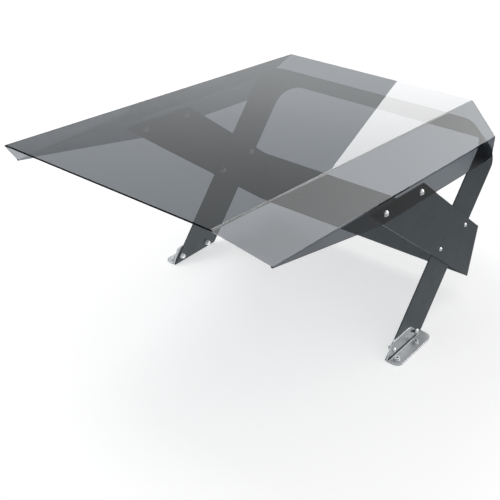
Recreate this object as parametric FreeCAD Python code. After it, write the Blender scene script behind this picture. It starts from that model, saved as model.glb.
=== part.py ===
"""A robot mower garage: a folded, tinted roof sheet on two crossing steel straps, bolted down at two feet.

The layout has X = 0 in the middle plane, Y = 0 at the roof's front edge and Z = 0 on the floor, with the
open front towards -Y. Every piece is moved once, at the end, so that the part's origin lies on the right
foot's underside, midway between its two ground anchors. Lengths are in millimetres, angles in degrees.
"""
import FreeCAD, Part
import math
import os

from FreeCAD import Vector

# Roof sheet: one acrylic sheet with four folds, higher at its open front
roof_length = 1046.0
roof_front_height = 615.0
roof_pitch = 3.5
roof_width = 760.0
top_width = 600.0
flap_drop = 82.0
flap_setback = 85.0
lip_height = 59.0
lip_front_height = 3.0
lip_full_from = 492.0
roof_thickness = 4.0
roof_fold_radius = 7.0
lip_corner_radius = 5.0

# Flat steel strap that the hoop and the rear band are bent from
strap_width = 137.0
strap_thickness = 4.0

# Hoop: one length of strap bent into a leaning, upside-down U
hoop_lean = 39.9
hoop_below_roof = 40.0
hoop_bend_radius = 72.0
hoop_front = 574.0
leg_floor_clearance = 2.0

# Rear band: a second length of strap, folded round the rear, that crosses the legs on the outside
band_below_fold = 15.0
band_front = 427.0
band_rear = 1001.0
band_floor_gap = 51.0
band_back_lean = 9.5
band_fold_radius = 6.0
band_corner_radius = 4.0

# Foot brackets
bracket_thickness = 4.0
bracket_length = 173.0
bracket_height = 50.0
bracket_base_width = 40.0
bracket_base_corner = 20.0
bracket_bend_radius = 4.0
bracket_front_lean = 23.0
bracket_front_corner = 12.0
bracket_rear_slope = 44.0
bracket_rear_corner = 34.0
bracket_rear_inset = 9.0

# Bolts and holes
bolt_hole = 8.5
lip_bolt_depth = 33.5
lip_bolt_front_inset = 73.0
lip_bolt_rear_inset = 13.785
front_leg_bolt_inset = 25.0
front_leg_bolt_rise = 23.5
rear_leg_bolt_inset = 18.5
rear_leg_bolt_drop = 21.0
bracket_bolt_front = 32.0
bracket_bolt_height = 21.0
bracket_slot_rear = 146.0
bracket_slot_height = 16.0
bracket_slot_length = 42.0
bracket_slot_fall = 30.0
anchor_hole = 9.0
anchor_front = 22.0
anchor_spacing = 94.0

# Places that follow from the sizes above
pitch = math.radians(roof_pitch)
lean = math.radians(hoop_lean)
roof_run = Vector(0, math.cos(pitch), -math.sin(pitch))
roof_down = Vector(0, -math.sin(pitch), -math.cos(pitch))
leg_rise = Vector(0, math.sin(lean), math.cos(lean))
leg_across = Vector(0, math.cos(lean), -math.sin(lean))
back_lean = math.radians(band_back_lean)
back_rise = Vector(0, math.sin(back_lean), math.cos(back_lean))
back_out = Vector(0, math.cos(back_lean), -math.sin(back_lean))
band_outside = roof_width / 2 - roof_thickness
leg_outside = band_outside - strap_thickness
anchor_x = leg_outside + bracket_base_width / 2
origin = Vector(anchor_x, hoop_front + anchor_front + anchor_spacing / 2, 0)


def rounded_wire(points, radii):
    """Closed wire through the points, with an arc of the given radius at each corner."""
    edges = []
    count = len(points)
    ends = []
    for i, corner in enumerate(points):
        before = (points[i - 1] - corner).normalize()
        after = (points[(i + 1) % count] - corner).normalize()
        half_turn = before.getAngle(after) / 2
        if radii[i] > 0:
            cut = radii[i] / math.tan(half_turn)
            middle = (before + after).normalize() * (radii[i] / math.sin(half_turn) - radii[i])
            start = corner + before * cut
            end = corner + after * cut
            edges.append(Part.Arc(start, corner + middle, end).toShape())
            ends.append((start, end))
        else:
            ends.append((corner, corner))
    for i in range(count):
        start = ends[i][1]
        end = ends[(i + 1) % count][0]
        edges.append(Part.makeLine(start, end))
    return Part.Wire(Part.__sortEdges__(edges))


def prism(points, radii, direction):
    """Solid made by sweeping a rounded outline along a straight line."""
    return Part.Face(rounded_wire(points, radii)).extrude(direction)


def bore(centre, diameter, depth):
    """Cylinder along X for a bolt hole, centred on its depth."""
    start = centre - Vector(depth / 2, 0, 0)
    return Part.makeCylinder(diameter / 2, depth, start, Vector(1, 0, 0))


def side_prism(outline, radii, x, thickness):
    """Flat plate that stands in a side plane, from an outline of places with any X."""
    points = [Vector(x, point.y, point.z) for point in outline]
    return prism(points, radii, Vector(thickness, 0, 0))


def on_roof(x, from_front, below_top):
    """Place on the pitched roof, measured along its fall and square down from its top face."""
    front = Vector(x, 0, roof_front_height)
    return front + roof_run * from_front + roof_down * below_top


def on_leg(from_front_edge, along_leg):
    """Place on the right leg's outer face, measured from its front edge and up from the floor."""
    foot = Vector(leg_outside, hoop_front, 0)
    return foot + leg_across * from_front_edge + leg_rise * along_leg


def on_foot(from_front, height):
    """Place on the right leg's outer face, measured level from the bracket's front end."""
    return Vector(leg_outside, hoop_front + from_front, height)


def lip_bolts():
    """Middles of the two bolts that hold one lip of the roof to the band, each near an end of its top edge."""
    top_front, top_rear, high, low = band_corners()
    band_end = band_front + (top_rear - top_front).Length
    places = (band_front + lip_bolt_front_inset, band_end - lip_bolt_rear_inset)
    return [on_roof(band_outside, place, flap_drop + lip_bolt_depth) for place in places]


def band_corners():
    """The side arm's top front, top rear, high back and low back corners, inside the folded back."""
    top_front = on_roof(0, band_front, flap_drop + band_below_fold)
    low = Vector(0, band_rear, band_floor_gap)
    fall = band_fall(top_front, low)
    top_rear = top_front + roof_run * (strap_width / math.sin(fall - pitch))
    high = low + back_rise * (strap_width / math.cos(fall - back_lean))
    return top_front, top_rear, high, low


def band_fall(top_front, low):
    """Angle at which the side arm's lower edge falls to the rear."""
    return math.atan2(top_front.z - low.z, low.y - top_front.y)


def on_crossing(from_front_edge, above_band_edge):
    """Place where leg and band overlap, measured square from the leg's front and the band's lower edge."""
    top_front, top_rear, high, low = band_corners()
    fall = band_fall(top_front, low)
    upward = Vector(0, math.sin(fall), math.cos(fall))
    short = above_band_edge - (on_leg(from_front_edge, 0) - low).dot(upward)
    return on_leg(from_front_edge, short / leg_rise.dot(upward))


def leg_bolts():
    """Middles of the two bolts that hold the rear band to a leg."""
    front = on_crossing(front_leg_bolt_inset, front_leg_bolt_rise)
    rear = on_crossing(strap_width - rear_leg_bolt_inset, strap_width - rear_leg_bolt_drop)
    return [front, rear]


def bracket_bolts():
    """Middles of the two bolts that hold a foot bracket to its leg, front one first."""
    front = on_foot(bracket_bolt_front, bracket_bolt_height)
    rear = on_foot(bracket_slot_rear, bracket_slot_height)
    return [front, rear]


def mirrored(shape):
    """The same piece on the left side."""
    return shape.mirror(Vector(0, 0, 0), Vector(1, 0, 0))


def bored_both_sides(shape, centres, thickness):
    """The shape with a bolt hole through its right and left sides at each centre."""
    for centre in centres:
        hole = bore(centre, bolt_hole, 4 * thickness)
        shape = shape.cut(hole).cut(mirrored(hole))
    return shape


def make_roof_sheet():
    """Top panel, two sloping flaps and two upright lips, folded from one sheet."""
    half = roof_width / 2
    top = top_width / 2
    lip_bottom = flap_drop + lip_height
    profile = [
        on_roof(-half, 0, 2 * lip_bottom),
        on_roof(-half, 0, flap_drop),
        on_roof(-top, 0, 0),
        on_roof(top, 0, 0),
        on_roof(half, 0, flap_drop),
        on_roof(half, 0, 2 * lip_bottom),
    ]
    fold = roof_fold_radius
    outer = Part.Face(rounded_wire(profile, [0, fold, fold, fold, fold, 0]))
    inner = outer.makeOffset2D(-roof_thickness, 2)
    sheet = outer.cut(inner).extrude(roof_run * roof_length)
    outline = [
        on_roof(0, 0, -roof_thickness),
        on_roof(0, 0, roof_thickness),
        on_roof(0, flap_setback, flap_drop),
        on_roof(0, flap_setback, flap_drop + lip_front_height),
        on_roof(0, lip_full_from, lip_bottom),
        on_roof(0, roof_length, lip_bottom),
        on_roof(0, roof_length, -roof_thickness),
    ]
    radii = [0, 0, 0, 0, 0, lip_corner_radius, 0]
    sheet = sheet.common(side_prism(outline, radii, -half, roof_width))
    return bored_both_sides(sheet, lip_bolts(), roof_thickness)


def make_hoop():
    """Strap bent into a U in the leaning plane, cut off level just above the floor."""
    below = -strap_width
    left_foot = mirrored_point(on_leg(0, below))
    right_foot = on_leg(0, below)
    top = on_leg(0, hoop_length())
    profile = [left_foot, mirrored_point(top), top, right_foot]
    bend = hoop_bend_radius + strap_thickness
    outer = Part.Face(rounded_wire(profile, [0, bend, bend, 0]))
    inner = outer.makeOffset2D(-strap_thickness)
    hoop = outer.cut(inner).extrude(leg_across * strap_width)
    depth = 2 * roof_front_height
    corner = Vector(-roof_width, hoop_front - depth, leg_floor_clearance - depth)
    hoop = hoop.cut(Part.makeBox(2 * roof_width, 2 * depth, depth, corner))
    return bored_both_sides(hoop, leg_bolts() + bracket_bolts(), strap_thickness)


def hoop_length():
    """Length up a leg's front edge to the crossbar, which stays level below the roof."""
    height = roof_front_height - hoop_below_roof - hoop_front * math.tan(pitch)
    return height / (math.cos(lean) + math.sin(lean) * math.tan(pitch))


def mirrored_point(point):
    """The same place on the left side."""
    return Vector(-point.x, point.y, point.z)


def make_rear_band():
    """Strap folded twice into a U: two falling side arms and the upright back between them."""
    top_front, top_rear, high, low = band_corners()
    thick = back_out * strap_thickness
    outline = [top_front, top_rear, high, high + thick, low + thick, low]
    below = low + thick - back_rise * roof_front_height
    half = Vector(band_outside, 0, 0)
    ahead = back_out * -roof_length
    profile = [below - half + ahead, below - half, below + half, below + half + ahead]
    outside = band_fold_radius
    outer = Part.Face(rounded_wire(profile, [0, outside, outside, 0]))
    inner = outer.makeOffset2D(-strap_thickness, 2)
    band = outer.cut(inner).extrude(back_rise * 3 * roof_front_height)
    corner = band_corner_radius
    trim = side_prism(outline, [corner, corner, 0, 0, 0, 0], -band_outside, 2 * band_outside)
    return bored_both_sides(band.common(trim), lip_bolts() + leg_bolts(), strap_thickness)


def make_right_foot_bracket():
    """Angle of thick sheet: an upright on the leg's outer face and a base that reaches outward."""
    section = [
        on_foot(0, 0),
        on_foot(0, 0) + Vector(bracket_base_width, 0, 0),
        on_foot(0, bracket_thickness) + Vector(bracket_base_width, 0, 0),
        on_foot(0, bracket_thickness) + Vector(bracket_thickness, 0, 0),
        on_foot(0, bracket_height) + Vector(bracket_thickness, 0, 0),
        on_foot(0, bracket_height),
    ]
    inside = bracket_bend_radius
    outside = bracket_bend_radius + bracket_thickness / 2
    bracket = prism(section, [outside, 0, 0, inside, 0, 0], Vector(0, bracket_length, 0))
    rear = bracket_length - bracket_rear_inset
    front_offset = bracket_height * math.tan(math.radians(bracket_front_lean))
    rear_offset = bracket_height / math.tan(math.radians(bracket_rear_slope))
    upright = [
        on_foot(0, 0),
        on_foot(bracket_length, 0),
        on_foot(bracket_length, bracket_thickness),
        on_foot(rear, bracket_thickness),
        on_foot(rear - rear_offset, bracket_height),
        on_foot(front_offset, bracket_height),
        on_foot(0, bracket_thickness),
    ]
    radii = [0, 0, 0, 0, bracket_rear_corner, bracket_front_corner, 0]
    bracket = bracket.common(side_prism(upright, radii, leg_outside, bracket_base_width))
    outward = Vector(bracket_base_width, 0, 0)
    base = [on_foot(0, 0), on_foot(0, 0) + outward]
    base += [on_foot(bracket_length, 0) + outward, on_foot(bracket_length, 0)]
    corner = bracket_base_corner
    bracket = bracket.common(prism(base, [0, corner, corner, 0], Vector(0, 0, bracket_height)))
    front_bolt, rear_bolt = bracket_bolts()
    bracket = bracket.cut(bore(front_bolt, bolt_hole, 4 * bracket_thickness))
    bracket = bracket.cut(slot_at(rear_bolt, 4 * bracket_thickness))
    for place in (0, anchor_spacing):
        middle = Vector(anchor_x, hoop_front + anchor_front + place, -bracket_thickness)
        bracket = bracket.cut(Part.makeCylinder(anchor_hole / 2, 4 * bracket_thickness, middle))
    return bracket


def slot_at(rear_bolt, depth):
    """Slot that rises to the front from the rear bolt, as wide as a bolt hole."""
    fall = math.radians(bracket_slot_fall)
    forward = Vector(0, -math.cos(fall), math.sin(fall)) * (bracket_slot_length - bolt_hole)
    wide = Vector(0, math.sin(fall), math.cos(fall)) * (bolt_hole / 2)
    corners = [rear_bolt - wide, rear_bolt + forward - wide, rear_bolt + forward + wide, rear_bolt + wide]
    slot = side_prism(corners, [0, 0, 0, 0], leg_outside - depth / 2, depth)
    ends = [bore(rear_bolt, bolt_hole, depth), bore(rear_bolt + forward, bolt_hole, depth)]
    return slot.fuse(ends)


def export(name, shape):
    """Write one piece, moved so that the origin lies between the right foot's anchors."""
    solid = shape.copy()
    solid.translate(-origin)
    solid = solid.Solids[0]
    solid.exportStep("parts/" + name + ".step")


def main():
    os.makedirs("parts", exist_ok=True)
    bracket = make_right_foot_bracket()
    pieces = {
        "roof_sheet": make_roof_sheet(),
        "hoop_frame": make_hoop(),
        "rear_band": make_rear_band(),
        "right_foot_bracket": bracket,
        "left_foot_bracket": mirrored(bracket),
    }
    for name, shape in pieces.items():
        export(name, shape)
        print(name, shape.isValid(), len(shape.Solids), round(shape.Volume / 1000.0, 2), "cm3")


main()
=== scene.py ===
"""Looks for the robot mower garage: materials, bolts and ground screws, floor, lights and camera."""
import math

import bmesh
import bpy
from mathutils import Matrix, Vector


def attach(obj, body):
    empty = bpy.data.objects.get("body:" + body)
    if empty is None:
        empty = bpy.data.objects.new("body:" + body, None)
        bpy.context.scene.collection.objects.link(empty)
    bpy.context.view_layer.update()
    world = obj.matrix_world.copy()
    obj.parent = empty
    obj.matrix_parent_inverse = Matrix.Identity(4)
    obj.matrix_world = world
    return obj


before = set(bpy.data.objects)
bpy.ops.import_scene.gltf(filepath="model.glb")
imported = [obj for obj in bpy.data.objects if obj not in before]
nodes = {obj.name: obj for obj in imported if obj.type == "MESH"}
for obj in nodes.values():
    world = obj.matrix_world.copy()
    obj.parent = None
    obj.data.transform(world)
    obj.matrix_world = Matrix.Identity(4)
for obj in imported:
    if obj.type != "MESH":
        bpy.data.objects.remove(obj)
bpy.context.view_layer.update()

scene = bpy.context.scene

# Sizes in metres, in the frame of the part: MIDDLE is the X of its plane of symmetry, STRAP and SHEET are
# thicknesses, and the crease is the middle of a foot bracket's inside fold
MIDDLE = -0.392
STRAP = 0.004
SHEET = 0.004
CREASE_X = -0.0152
CREASE_Z = 0.0062
# Painted shade fills a foot bracket's inside fold out to the first radius and fades out by the second
CREASE_DARK_RADIUS = 0.0016
CREASE_UNSHADED_RADIUS = 0.0030
STEEL_EDGE = 0.0004
BRACKET_EDGE = 0.0006

# Fasteners
WASHER_RADIUS = 0.0080
WASHER_THICKNESS = 0.0016
WASHER_BROKEN_EDGE = 0.0003
HEAD_RADIUS = 0.0070
SMALL_HEAD_RADIUS = 0.0060
HEAD_HEIGHT = 0.0044
SOCKET_RADIUS = 0.0029
SOCKET_RIM = 1.12 * SOCKET_RADIUS
SOCKET_DEPTH = 0.0026
SHANK_RADIUS = 0.0040
NUT_RADIUS = 0.0075
NUT_HEIGHT = 0.0065
THREAD_PITCH = 0.00125
THREAD_DEPTH = 0.0006
THREAD_PROUD = 0.0025
SCREW_HEAD_RADIUS = 0.0075
SCREW_HEAD_HEIGHT = 0.0053
ANCHOR_PLACES_Y = (-0.047, 0.047)
SEGMENTS = 48
HEX_SEGMENTS = 72


def new_material(name):
    """A material with only a Principled shader, as (material, node tree, shader)."""
    material = bpy.data.materials.new(name)
    material.use_nodes = True
    tree = material.node_tree
    tree.nodes.clear()
    output = tree.nodes.new("ShaderNodeOutputMaterial")
    shader = tree.nodes.new("ShaderNodeBsdfPrincipled")
    tree.links.new(shader.outputs["BSDF"], output.inputs["Surface"])
    return material, tree, shader


def noise(tree, scale, detail=3.0, stretch=(1.0, 1.0, 1.0), roughness=0.5):
    """Noise over the object's own coordinates, scaled along each axis."""
    coordinates = tree.nodes.new("ShaderNodeTexCoord")
    mapping = tree.nodes.new("ShaderNodeMapping")
    mapping.inputs["Scale"].default_value = stretch
    texture = tree.nodes.new("ShaderNodeTexNoise")
    texture.inputs["Scale"].default_value = scale
    texture.inputs["Detail"].default_value = detail
    texture.inputs["Roughness"].default_value = roughness
    tree.links.new(coordinates.outputs["Object"], mapping.inputs["Vector"])
    tree.links.new(mapping.outputs["Vector"], texture.inputs["Vector"])
    return texture.outputs["Fac"]


def spread(tree, value, low_in, high_in, low_out, high_out):
    """Map a value from one range to another, held at both ends."""
    remap = tree.nodes.new("ShaderNodeMapRange")
    remap.inputs["From Min"].default_value = low_in
    remap.inputs["From Max"].default_value = high_in
    remap.inputs["To Min"].default_value = low_out
    remap.inputs["To Max"].default_value = high_out
    tree.links.new(value, remap.inputs["Value"])
    return remap.outputs["Result"]


def blend_colours(tree, value, first, second):
    """Colour between two colours, by a value from 0 to 1."""
    mix = tree.nodes.new("ShaderNodeMix")
    mix.data_type = "RGBA"
    mix.inputs["A"].default_value = (*first, 1.0)
    mix.inputs["B"].default_value = (*second, 1.0)
    tree.links.new(value, mix.inputs["Factor"])
    return mix.outputs["Result"]


def add_bumps(tree, shader, layers):
    """Bump made of several height layers, each as (value, distance, strength)."""
    normal = None
    for value, distance, strength in layers:
        bump = tree.nodes.new("ShaderNodeBump")
        bump.inputs["Distance"].default_value = distance
        bump.inputs["Strength"].default_value = strength
        tree.links.new(value, bump.inputs["Height"])
        if normal is not None:
            tree.links.new(normal, bump.inputs["Normal"])
        normal = bump.outputs["Normal"]
    tree.links.new(normal, shader.inputs["Normal"])


def make_acrylic():
    """Smoked acrylic: clear, polished, tinted through its thickness, with faint smudges and waves."""
    material, tree, shader = new_material("smoked_acrylic")
    shader.inputs["IOR"].default_value = 1.49
    shader.inputs["Transmission Weight"].default_value = 1.0
    haze = noise(tree, 9.0, 4.0)
    smudges = spread(tree, haze, 0.40, 0.75, 0.0, 0.02)
    tree.links.new(smudges, shader.inputs["Roughness"])
    tint = blend_colours(tree, spread(tree, noise(tree, 5.0, 2.0), 0.3, 0.7, 0.0, 1.0),
                         (0.97, 0.98, 1.0), (0.94, 0.955, 0.975))
    tree.links.new(tint, shader.inputs["Base Color"])
    absorption = tree.nodes.new("ShaderNodeVolumeAbsorption")
    absorption.inputs["Color"].default_value = (0.07, 0.112, 0.155, 1.0)
    absorption.inputs["Density"].default_value = 382.0
    tree.links.new(absorption.outputs["Volume"], tree.nodes["Material Output"].inputs["Volume"])
    return material


def make_powder_coat():
    """Anthracite powder coat: satin, with an orange-peel texture and slight mottling."""
    material, tree, shader = new_material("anthracite_powder_coat")
    mottle = spread(tree, noise(tree, 7.0, 5.0), 0.3, 0.7, 0.0, 1.0)
    colour = blend_colours(tree, mottle, (0.058, 0.075, 0.084), (0.068, 0.086, 0.096))
    tree.links.new(colour, shader.inputs["Base Color"])
    peel = noise(tree, 900.0, 2.0)
    rough = spread(tree, noise(tree, 30.0, 4.0), 0.3, 0.7, 0.40, 0.50)
    tree.links.new(rough, shader.inputs["Roughness"])
    shader.inputs["IOR"].default_value = 1.5
    add_bumps(tree, shader, [(peel, 0.0003, 0.22), (noise(tree, 220.0, 2.0), 0.0004, 0.10)])
    return material


def calculate(tree, operation, first, second):
    """Sum, product or the like of a value and a value or number."""
    step = tree.nodes.new("ShaderNodeMath")
    step.operation = operation
    tree.links.new(first, step.inputs[0])
    if isinstance(second, (int, float)):
        step.inputs[1].default_value = second
    else:
        tree.links.new(second, step.inputs[1])
    return step.outputs["Value"]


def from_crease(tree):
    """Distance from the inside fold of a foot bracket, on either side of the part."""
    coordinates = tree.nodes.new("ShaderNodeTexCoord")
    axes = tree.nodes.new("ShaderNodeSeparateXYZ")
    tree.links.new(coordinates.outputs["Object"], axes.inputs["Vector"])
    sideways = calculate(tree, "SUBTRACT", axes.outputs["X"], MIDDLE)
    sideways = calculate(tree, "ABSOLUTE", sideways, 0)
    sideways = calculate(tree, "SUBTRACT", sideways, CREASE_X - MIDDLE)
    upwards = calculate(tree, "SUBTRACT", axes.outputs["Z"], CREASE_Z)
    sideways = calculate(tree, "POWER", sideways, 2)
    upwards = calculate(tree, "POWER", upwards, 2)
    return calculate(tree, "POWER", calculate(tree, "ADD", sideways, upwards), 0.5)


def make_zinc(name, light, dark, rough_low, rough_high, stretch, metallic=1.0, crease=False):
    """Zinc-plated steel with fine streaks and uneven passivation, and with painted shade darkening the
    inside fold if asked.
    """
    material, tree, shader = new_material(name)
    patches = spread(tree, noise(tree, 60.0, 5.0), 0.3, 0.7, 0.0, 1.0)
    colour = blend_colours(tree, patches, dark, light)
    if crease:
        # Painted shade: near-black colour along the inside fold of the foot brackets, standing for the
        # shadow in the crease
        unshaded = spread(tree, from_crease(tree), CREASE_DARK_RADIUS, CREASE_UNSHADED_RADIUS, 0.0, 1.0)
        crease_shade = tree.nodes.new("ShaderNodeMix")
        crease_shade.data_type = "RGBA"
        crease_shade.inputs["A"].default_value = (0.03, 0.03, 0.032, 1.0)
        tree.links.new(unshaded, crease_shade.inputs["Factor"])
        tree.links.new(colour, crease_shade.inputs["B"])
        colour = crease_shade.outputs["Result"]
    tree.links.new(colour, shader.inputs["Base Color"])
    streaks = noise(tree, 500.0, 3.0, stretch)
    rough = spread(tree, streaks, 0.3, 0.7, rough_low, rough_high)
    tree.links.new(rough, shader.inputs["Roughness"])
    shader.inputs["Metallic"].default_value = metallic
    add_bumps(tree, shader, [(streaks, 0.0002, 0.25), (noise(tree, 90.0, 2.0), 0.0005, 0.08)])
    return material


acrylic = make_acrylic()
powder_coat = make_powder_coat()
zinc_plate = make_zinc("zinc_plate", (0.47, 0.48, 0.49), (0.41, 0.42, 0.43), 0.42, 0.52, (1.0, 0.08, 1.0),
                       crease=True)
zinc_bolt = make_zinc("zinc_bolt", (0.90, 0.91, 0.92), (0.82, 0.83, 0.84), 0.26, 0.36, (1.0, 1.0, 1.0),
                      metallic=0.8)
# Painted highlight: a lighter, shinier copy of the zinc, put on the bevelled edges of the brackets
zinc_edge_highlight = make_zinc("zinc_edge_highlight", (0.86, 0.87, 0.88), (0.80, 0.81, 0.82), 0.16, 0.24, (1.0, 0.3, 1.0))


def dress(node, material):
    """Give a carried-over CAD node its finish."""
    node.data.materials.clear()
    node.data.materials.append(material)


def soften(node, width, highlight_material=None):
    """Small rounding on the sharp edges of a CAD node, whose bevel faces get a lighter copy of its
    material as a painted highlight where one is given.

    The CAD mesh comes as loose triangulated faces, which are joined and made whole first.
    """
    weld = node.modifiers.new("joined_faces", "WELD")
    weld.merge_threshold = 0.000001
    flats = node.modifiers.new("whole_flats", "DECIMATE")
    flats.decimate_type = "DISSOLVE"
    flats.angle_limit = math.radians(0.5)
    bevel = node.modifiers.new("edge_rounding", "BEVEL")
    bevel.width = width
    bevel.segments = 2
    bevel.limit_method = "ANGLE"
    bevel.angle_limit = math.radians(50)
    bevel.use_clamp_overlap = False
    bevel.loop_slide = False
    bevel.harden_normals = True
    if highlight_material is not None:
        node.data.materials.append(highlight_material)
        bevel.material = 1


dress(nodes["roof_sheet"], acrylic)
for name in ("hoop_frame", "rear_band"):
    dress(nodes[name], powder_coat)
    soften(nodes[name], STEEL_EDGE)
for name in ("right_foot_bracket", "left_foot_bracket"):
    dress(nodes[name], zinc_plate)
    soften(nodes[name], BRACKET_EDGE, zinc_edge_highlight)


def lathe(bm, profile, segments=SEGMENTS):
    """Surface of revolution about Z through (radius, height) places, closed where the radius is 0."""
    rings = []
    for radius, height in profile:
        if radius == 0:
            rings.append([bm.verts.new((0, 0, height))])
            continue
        ring = []
        for i in range(segments):
            angle = 2 * math.pi * i / segments
            ring.append(bm.verts.new((radius * math.cos(angle), radius * math.sin(angle), height)))
        rings.append(ring)
    for lower, upper in zip(rings, rings[1:]):
        for i in range(segments):
            j = (i + 1) % segments
            face = [lower[i % len(lower)], lower[j % len(lower)]]
            face += [upper[j % len(upper)], upper[i % len(upper)]]
            unique = list(dict.fromkeys(face))
            if len(unique) > 2:
                bm.faces.new(unique)


def mesh_from(bm, name, material, smooth_angle=35):
    """Finish a bmesh as mesh data with smooth faces and sharp edges."""
    bmesh.ops.recalc_face_normals(bm, faces=bm.faces)
    for edge in bm.edges:
        if len(edge.link_faces) == 2 and edge.calc_face_angle() > math.radians(smooth_angle):
            edge.smooth = False
    for face in bm.faces:
        face.smooth = True
    mesh = bpy.data.meshes.new(name)
    bm.to_mesh(mesh)
    bm.free()
    mesh.materials.append(material)
    return mesh


def hexagon(angle, corner):
    """Distance from the middle of a hexagon to its side at an angle, for a given corner radius."""
    local = (angle + math.pi / 6) % (math.pi / 3) - math.pi / 6
    return corner * math.cos(math.pi / 6) / math.cos(local)


def thread_profile(top, bottom):
    """Rings of a threaded end from its lead-in at the bottom up to the top."""
    core = SHANK_RADIUS - THREAD_DEPTH
    places = [(0, bottom), (SHANK_RADIUS - 0.001, bottom), (core, bottom + 0.0005)]
    height = bottom + 0.0008
    while height + THREAD_PITCH < top:
        places.append((SHANK_RADIUS, height + THREAD_PITCH * 0.4))
        places.append((SHANK_RADIUS, height + THREAD_PITCH * 0.55))
        places.append((core, height + THREAD_PITCH * 0.95))
        height += THREAD_PITCH
    return places


def bolt_mesh(name, grip, head_radius):
    """Domed socket-head bolt, head underside at height 0, whose shank passes what it grips and the nut."""
    bm = bmesh.new()
    end = -(grip + NUT_HEIGHT + THREAD_PROUD)
    dome_start = math.radians(8)
    dome_end = math.radians(74)
    dome_steps = 8
    dome = []
    for i in range(dome_steps + 1):
        angle = dome_start + (dome_end - dome_start) * i / dome_steps
        dome.append((head_radius * math.cos(angle), HEAD_HEIGHT * math.sin(angle) / math.sin(dome_end)))
    chamfer = 0.0002
    rim_height = HEAD_HEIGHT - chamfer
    thread_top = THREAD_PITCH - grip
    places = thread_profile(thread_top, end)
    places += [(SHANK_RADIUS, thread_top + 0.0004), (SHANK_RADIUS, 0), (head_radius * 0.985, 0)]
    places += [(r, h) for r, h in dome if r > SOCKET_RIM + 2 * chamfer]
    places += [(SOCKET_RIM + chamfer, HEAD_HEIGHT), (SOCKET_RIM, rim_height)]
    lathe(bm, places)
    socket_top = HEAD_HEIGHT - 0.0005
    socket_floor = HEAD_HEIGHT - SOCKET_DEPTH
    rim = [v for v in bm.verts if abs(v.co.z - rim_height) < 1e-7]
    rim.sort(key=lambda v: math.atan2(v.co.y, v.co.x))
    floor = []
    upper = []
    for v in rim:
        angle = math.atan2(v.co.y, v.co.x)
        radius = hexagon(angle, SOCKET_RADIUS)
        point = (radius * math.cos(angle), radius * math.sin(angle))
        upper.append(bm.verts.new((*point, socket_top)))
        floor.append(bm.verts.new((*point, socket_floor)))
    count = len(rim)
    for i in range(count):
        j = (i + 1) % count
        bm.faces.new((rim[i], rim[j], upper[j], upper[i]))
        bm.faces.new((upper[i], upper[j], floor[j], floor[i]))
    middle = bm.verts.new((0, 0, socket_floor - 0.0008))
    for i in range(count):
        bm.faces.new((floor[i], floor[(i + 1) % count], middle))
    return mesh_from(bm, name, zinc_bolt)


def washer_mesh(name):
    """Flat washer with broken edges, its underside at height 0."""
    bm = bmesh.new()
    inner = SHANK_RADIUS + 0.0001
    edge = WASHER_BROKEN_EDGE
    top = WASHER_THICKNESS
    places = [
        (inner, 0), (WASHER_RADIUS - edge, 0), (WASHER_RADIUS, edge), (WASHER_RADIUS, top - edge),
        (WASHER_RADIUS - edge, top), (inner + edge, top), (inner, top - edge), (inner, 0),
    ]
    lathe(bm, places)
    bmesh.ops.remove_doubles(bm, verts=bm.verts, dist=1e-7)
    return mesh_from(bm, name, zinc_bolt)


def hex_body(bm, corner, height, hole):
    """Hexagonal body with a hole and the chamfered faces of a turned nut, its base at height 0."""
    count = HEX_SEGMENTS
    levels = (0.0, 0.16, 0.30, 0.70, 0.84, 1.0)
    flat = corner * math.cos(math.pi / 6)
    rings = []
    for level in levels:
        from_face = min(level, 1 - level) * height
        turned = flat * 0.97 + from_face * 1.9
        ring = []
        for i in range(count):
            angle = 2 * math.pi * i / count
            radius = min(hexagon(angle, corner), turned)
            ring.append(bm.verts.new((radius * math.cos(angle), radius * math.sin(angle), level * height)))
        rings.append(ring)
    caps = []
    for level in (0.0, 1.0):
        ring = []
        for i in range(count):
            angle = 2 * math.pi * i / count
            ring.append(bm.verts.new((hole * math.cos(angle), hole * math.sin(angle), level * height)))
        caps.append(ring)
    loops = [caps[0]] + rings + [caps[1], caps[0]]
    for lower, upper in zip(loops, loops[1:]):
        for i in range(count):
            j = (i + 1) % count
            bm.faces.new((lower[i], lower[j], upper[j], upper[i]))


def nut_mesh(name):
    """Hexagonal nut with chamfered corners, its base at height 0."""
    bm = bmesh.new()
    hex_body(bm, NUT_RADIUS, NUT_HEIGHT, SHANK_RADIUS + 0.00005)
    return mesh_from(bm, name, zinc_bolt, 22)


def screw_mesh(name):
    """Hexagonal ground-screw head with a short shank below height 0 that ends inside the bracket."""
    bm = bmesh.new()
    hole = 0.0005
    hex_body(bm, SCREW_HEAD_RADIUS, SCREW_HEAD_HEIGHT, hole)
    middle = Vector((0, 0, SCREW_HEAD_HEIGHT))
    top = [v for v in bm.verts if (v.co - middle).length < 1.2 * hole]
    bmesh.ops.pointmerge(bm, verts=top, merge_co=middle)
    overlap = 0.0005
    tip = 0.0003 - WASHER_THICKNESS - SHEET
    chamfer = [(SHANK_RADIUS, tip + 0.0007), (SHANK_RADIUS - 0.0008, tip)]
    lathe(bm, [(0, overlap), (SHANK_RADIUS, overlap), *chamfer, (0, tip)], 32)
    return mesh_from(bm, name, zinc_bolt, 22)


def place(mesh, name, centre, axis, turn=0.0):
    """One fastener at a place, its own Z along the axis, riding on the part."""
    piece = bpy.data.objects.new(name, mesh)
    scene.collection.objects.link(piece)
    rotation = Vector(axis).to_track_quat("Z", "Y").to_matrix().to_4x4()
    piece.matrix_world = Matrix.Translation(centre) @ rotation @ Matrix.Rotation(turn, 4, "Z")
    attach(piece, "root")


washer = washer_mesh("washer")
nut = nut_mesh("nut")
ground_screw = screw_mesh("ground_screw")

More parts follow.
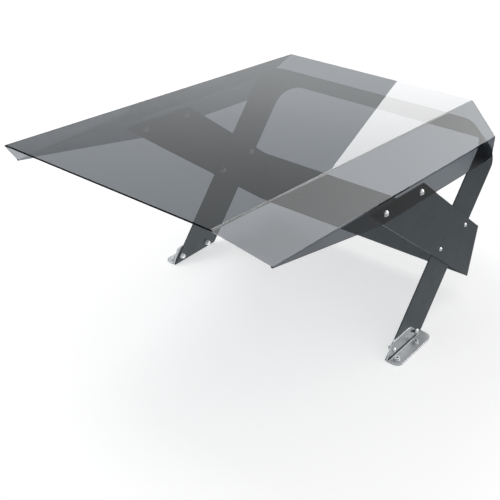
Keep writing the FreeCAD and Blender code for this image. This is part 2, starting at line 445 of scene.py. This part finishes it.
# Each joint: name, Y and Z of its bolt, X of the outermost face, total thickness that it clamps,
# radius of the head, and thickness of the washer under it
joints = [
    ("lip_front", -0.1510, 0.4692, -0.0120, SHEET + STRAP, HEAD_RADIUS, WASHER_THICKNESS),
    ("lip_rear", 0.0087, 0.4594, -0.0120, SHEET + STRAP, HEAD_RADIUS, WASHER_THICKNESS),
    ("crossing_front", 0.1580, 0.2325, -0.0160, 2 * STRAP, SMALL_HEAD_RADIUS, 0),
    ("crossing_rear", 0.2919, 0.2469, -0.0160, 2 * STRAP, SMALL_HEAD_RADIUS, 0),
    ("foot_front", -0.0370, 0.0210, -0.0160, 2 * STRAP, SMALL_HEAD_RADIUS, 0),
    ("foot_rear", 0.0770, 0.0160, -0.0160, 2 * STRAP, HEAD_RADIUS, WASHER_THICKNESS),
]
for number, (name, y, z, outer, stack, head_radius, under_head) in enumerate(joints):
    bolt = bolt_mesh(name + "_bolt", under_head + stack + WASHER_THICKNESS, head_radius)
    for side, sign in (("right", 1), ("left", -1)):
        reach = outer - MIDDLE
        outward = Vector((sign, 0, 0))
        # Each head is turned differently, as after tightening
        turn = 0.35 + 0.7 * number + 0.4 * sign
        face = Vector((MIDDLE + sign * reach, y, z))
        back = face - outward * stack
        place(bolt, f"{name}_bolt_{side}", face + outward * under_head, outward, turn)
        if under_head:
            place(washer, f"{name}_washer_outer_{side}", face, outward)
        place(washer, f"{name}_washer_inner_{side}", back, -outward)
        place(nut, f"{name}_nut_{side}", back - outward * WASHER_THICKNESS, -outward, turn * 1.7)

for number, y in enumerate(ANCHOR_PLACES_Y):
    for side, x in (("right", 0.0), ("left", 2 * MIDDLE)):
        base = Vector((x, y, SHEET))
        place(washer, f"ground_washer_{number}_{side}", base, (0, 0, 1))
        place(ground_screw, f"ground_screw_{number}_{side}", base + Vector((0, 0, WASHER_THICKNESS)),
              (0, 0, 1), 0.5 + number + x)


def seen_rays(tree):
    """1 for the rays that show a white background: camera, glossy and transmission rays."""
    path = tree.nodes.new("ShaderNodeLightPath")
    total = path.outputs["Is Camera Ray"]
    for name in ("Is Glossy Ray", "Is Transmission Ray"):
        total = calculate(tree, "MAXIMUM", total, path.outputs[name])
    return total


def make_floor():
    """Large pale floor, near white as seen, that keeps the shadow."""
    bm = bmesh.new()
    bmesh.ops.create_grid(bm, x_segments=8, y_segments=8, size=40)
    material = bpy.data.materials.new("floor")
    material.use_nodes = True
    tree = material.node_tree
    tree.nodes.clear()
    output = tree.nodes.new("ShaderNodeOutputMaterial")
    diffuse = tree.nodes.new("ShaderNodeBsdfDiffuse")
    colour = blend_colours(tree, noise(tree, 2.0, 3.0), (0.78, 0.78, 0.785), (0.80, 0.80, 0.805))
    tree.links.new(colour, diffuse.inputs["Color"])
    emission = tree.nodes.new("ShaderNodeEmission")
    tree.links.new(calculate(tree, "MULTIPLY", seen_rays(tree), 0.56), emission.inputs["Strength"])
    add = tree.nodes.new("ShaderNodeAddShader")
    tree.links.new(diffuse.outputs["BSDF"], add.inputs[0])
    tree.links.new(emission.outputs["Emission"], add.inputs[1])
    tree.links.new(add.outputs["Shader"], output.inputs["Surface"])
    mesh = bpy.data.meshes.new("floor")
    bm.to_mesh(mesh)
    bm.free()
    mesh.materials.append(material)
    floor = bpy.data.objects.new("floor", mesh)
    floor.location = (MIDDLE, 0, -0.0005)
    scene.collection.objects.link(floor)


def make_world():
    """White surroundings as seen, at a plain level as light."""
    world = bpy.data.worlds.new("studio")
    scene.world = world
    world.use_nodes = True
    tree = world.node_tree
    background = tree.nodes["Background"]
    background.inputs["Color"].default_value = (1.0, 1.0, 1.0, 1.0)
    strength = spread(tree, seen_rays(tree), 0.0, 1.0, 0.55, 1.0)
    tree.links.new(strength, background.inputs["Strength"])


def area_light(name, place_at, target, width, height, radiance):
    """Rectangular soft light of a given radiance that faces the target."""
    light = bpy.data.lights.new(name, "AREA")
    light.shape = "RECTANGLE"
    light.size = width
    light.size_y = height
    light.energy = radiance * math.pi * width * height
    lamp = bpy.data.objects.new(name, light)
    lamp.location = place_at
    lamp.rotation_mode = "QUATERNION"
    lamp.rotation_quaternion = (Vector(target) - Vector(place_at)).to_track_quat("-Z", "Y")
    scene.collection.objects.link(lamp)


def gloss_material(name, strength):
    """Plain glow of a given strength, as (material, node tree, emission node)."""
    material = bpy.data.materials.new(name)
    material.use_nodes = True
    tree = material.node_tree
    tree.nodes.clear()
    output = tree.nodes.new("ShaderNodeOutputMaterial")
    emission = tree.nodes.new("ShaderNodeEmission")
    emission.inputs["Strength"].default_value = strength
    tree.links.new(emission.outputs["Emission"], output.inputs["Surface"])
    return material, tree, emission


def gloss_only(name, mesh, material, location):
    """Stage a card, softbox or dome that only glossy rays see."""
    mesh.materials.append(material)
    card = bpy.data.objects.new(name, mesh)
    card.location = location
    scene.collection.objects.link(card)
    card.visible_camera = False
    card.visible_diffuse = False
    card.visible_transmission = False
    card.visible_shadow = False


def ramp(tree, value, stops):
    """Slightly blue grey whose level runs straight between (value, level) stops, held at both ends."""
    reach = stops[-1][0]
    colours = tree.nodes.new("ShaderNodeValToRGB")
    tree.links.new(calculate(tree, "DIVIDE", value, reach), colours.inputs["Fac"])
    elements = colours.color_ramp.elements
    while len(elements) < len(stops):
        elements.new(1.0)
    for element, (place_on_ramp, level) in zip(elements, stops):
        element.position = place_on_ramp / reach
        element.color = (0.97 * level, level, 1.02 * level, 1.0)
    return colours.outputs["Color"]


def make_softbox(name, corners, strength):
    """Flat softbox, or a dark flag where it hardly glows."""
    mesh = bpy.data.meshes.new(name)
    mesh.from_pydata(corners, [], [(0, 1, 2, 3)])
    gloss_only(name, mesh, gloss_material(name, strength)[0], (0, 0, 0))


def make_floor_card():
    """Floor as the gloss shows it: pale round the left foot, greyer further out, and dark well behind."""
    bm = bmesh.new()
    bmesh.ops.create_grid(bm, x_segments=1, y_segments=1, size=12)
    mesh = bpy.data.meshes.new("floor_card")
    bm.to_mesh(mesh)
    bm.free()
    material, tree, emission = gloss_material("floor_card", 1.0)
    coordinates = tree.nodes.new("ShaderNodeTexCoord")
    distance = tree.nodes.new("ShaderNodeVectorMath")
    distance.operation = "LENGTH"
    tree.links.new(coordinates.outputs["Object"], distance.inputs[0])
    outward = [(0.54, 1.28), (0.58, 0.50), (0.85, 0.47), (1.00, 0.33)]
    tree.links.new(ramp(tree, distance.outputs["Value"], outward), emission.inputs["Color"])
    axes = tree.nodes.new("ShaderNodeSeparateXYZ")
    tree.links.new(coordinates.outputs["Object"], axes.inputs["Vector"])
    rearward = [(1.15, 1.0), (1.32, 0.10)]
    tree.links.new(ramp(tree, axes.outputs["Y"], rearward), emission.inputs["Strength"])
    gloss_only("floor_card", mesh, material, (MIDDLE - 0.2, -0.1, -0.0003))


def make_dome():
    """Studio walls as the gloss shows them: bright at a low angle, greyer near the floor and overhead."""
    bm = bmesh.new()
    bmesh.ops.create_uvsphere(bm, u_segments=64, v_segments=48, radius=12)
    mesh = bpy.data.meshes.new("dome")
    bm.to_mesh(mesh)
    bm.free()
    material, tree, emission = gloss_material("dome", 1.33)
    coordinates = tree.nodes.new("ShaderNodeTexCoord")
    axes = tree.nodes.new("ShaderNodeSeparateXYZ")
    tree.links.new(coordinates.outputs["Object"], axes.inputs["Vector"])
    upward = [(0.0, 0.20), (2.2, 0.84), (2.8, 0.85), (3.2, 0.92), (3.65, 0.87), (4.0, 0.76), (4.5, 0.65),
              (5.0, 0.565), (5.6, 0.50)]
    tree.links.new(ramp(tree, axes.outputs["Z"], upward), emission.inputs["Color"])
    gloss_only("dome", mesh, material, (0, 0, 0))


def upright_card(name, y, bottom, top, left, right, strength, top_left=None):
    """Softbox or flag that stands across the rear, its left edge slanting where top_left is given."""
    if top_left is None:
        top_left = left
    corners = [(left, y, bottom), (right, y, bottom), (right, y, top), (top_left, y, top)]
    make_softbox(name, corners, strength)


def make_cards():
    """What the object's gloss shows: softboxes with one slanting edge, dark flags, floor and walls."""
    boxes_y = 4.0
    seam = 0.3
    bottom = 0.65
    top = 6.5
    upright_card("softbox_left", boxes_y, bottom, top, -1.75, seam, 3.95, top_left=-5.07)
    upright_card("softbox_right", boxes_y, bottom, top, seam, 5.5, 3.2)
    upright_card("black_flag", 3.9, 0.0, 1.2, 1.4, 4.4, 0.03)
    reach = 8.0
    rear = -0.7
    height = -0.0002
    make_softbox("dark_front", [(-reach, -reach, height), (reach, -reach, height), (reach, rear, height),
                                (-reach, rear, height)], 0.12)
    make_floor_card()
    make_dome()


make_floor()
make_world()
make_cards()
area_light("key", (-2.9, -0.2, 4.0), (MIDDLE, 0, 0.3), 1.6, 1.6, 3.6)

# Camera fitted to the photograph, its focal length in pixels of the 500-pixel frame
FOCAL_PIXELS = 881.69
FRAME_PIXELS = 500.0
SENSOR_WIDTH = 36.0
AZIMUTH = math.radians(39.103)
ELEVATION = math.radians(30.822)
camera_data = bpy.data.cameras.new("camera")
camera_data.sensor_width = SENSOR_WIDTH
camera_data.lens = FOCAL_PIXELS * SENSOR_WIDTH / FRAME_PIXELS
camera_data.clip_end = 200.0
camera = bpy.data.objects.new("camera", camera_data)
camera.location = (0.8427, -1.6824, 1.4054)
camera.rotation_euler = (math.pi / 2 - ELEVATION, 0.0, AZIMUTH)
scene.collection.objects.link(camera)
scene.camera = camera
scene.view_settings.view_transform = "Standard"
